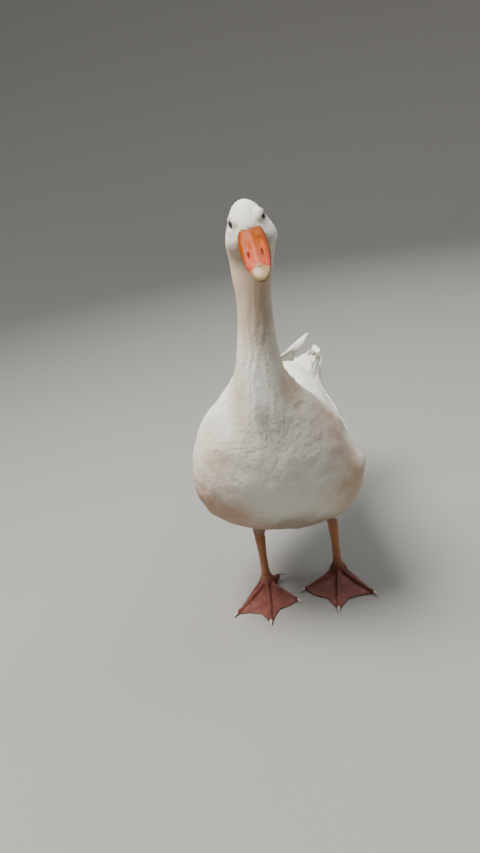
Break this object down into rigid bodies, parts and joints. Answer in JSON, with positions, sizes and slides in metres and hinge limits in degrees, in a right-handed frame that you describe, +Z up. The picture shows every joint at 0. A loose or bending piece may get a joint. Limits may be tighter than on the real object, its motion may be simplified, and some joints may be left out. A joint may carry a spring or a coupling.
{
  "type": "domestic goose figure",
  "caption": "Still, life-size goose standing on both webbed feet with neck raised, head facing ahead and wing tips crossed over its tail; for a museum case or a scene.",
  "frame": {"origin": "On the floor under the middle of the bird's bounding box; both soles lie in the plane z = 0", "axes": "+Z up, -Y ahead towards the bill, +X the goose's own left"},
  "size_m": [0.227, 0.496, 0.5703],
  "materials": {
    "plumage": "soft white feathers, matt, overlapping in rows, slightly warm on the sides and cool on the breast",
    "bill": "satin orange skin over horn, pinker towards the tip",
    "nail": "pale cream horn, slightly polished",
    "eye": "wet, nearly black",
    "leg_skin": "scaly orange-red skin, dull, with dirt on the webs",
    "claw": "pale worn horn"
  },
  "bodies": {
    "root": {"trunk": "plumage", "neck_lower": "plumage", "neck_middle": "plumage", "neck_upper": "plumage", "head": "plumage", "wing_left": "plumage", "wing_right": "plumage", "tail": "plumage", "thigh_left": "plumage", "thigh_right": "plumage", "bill_upper": "bill", "bill_lower": "bill", "bill_nail": "nail", "eye_left": "eye", "eye_right": "eye", "shank_left": "leg_skin", "shank_right": "leg_skin", "foot_left": "leg_skin", "foot_right": "leg_skin", "claw_outer_left": "claw", "claw_middle_left": "claw", "claw_inner_left": "claw", "claw_hind_left": "claw", "claw_outer_right": "claw", "claw_middle_right": "claw", "claw_inner_right": "claw", "claw_hind_right": "claw"}
  },
  "joints": []
}
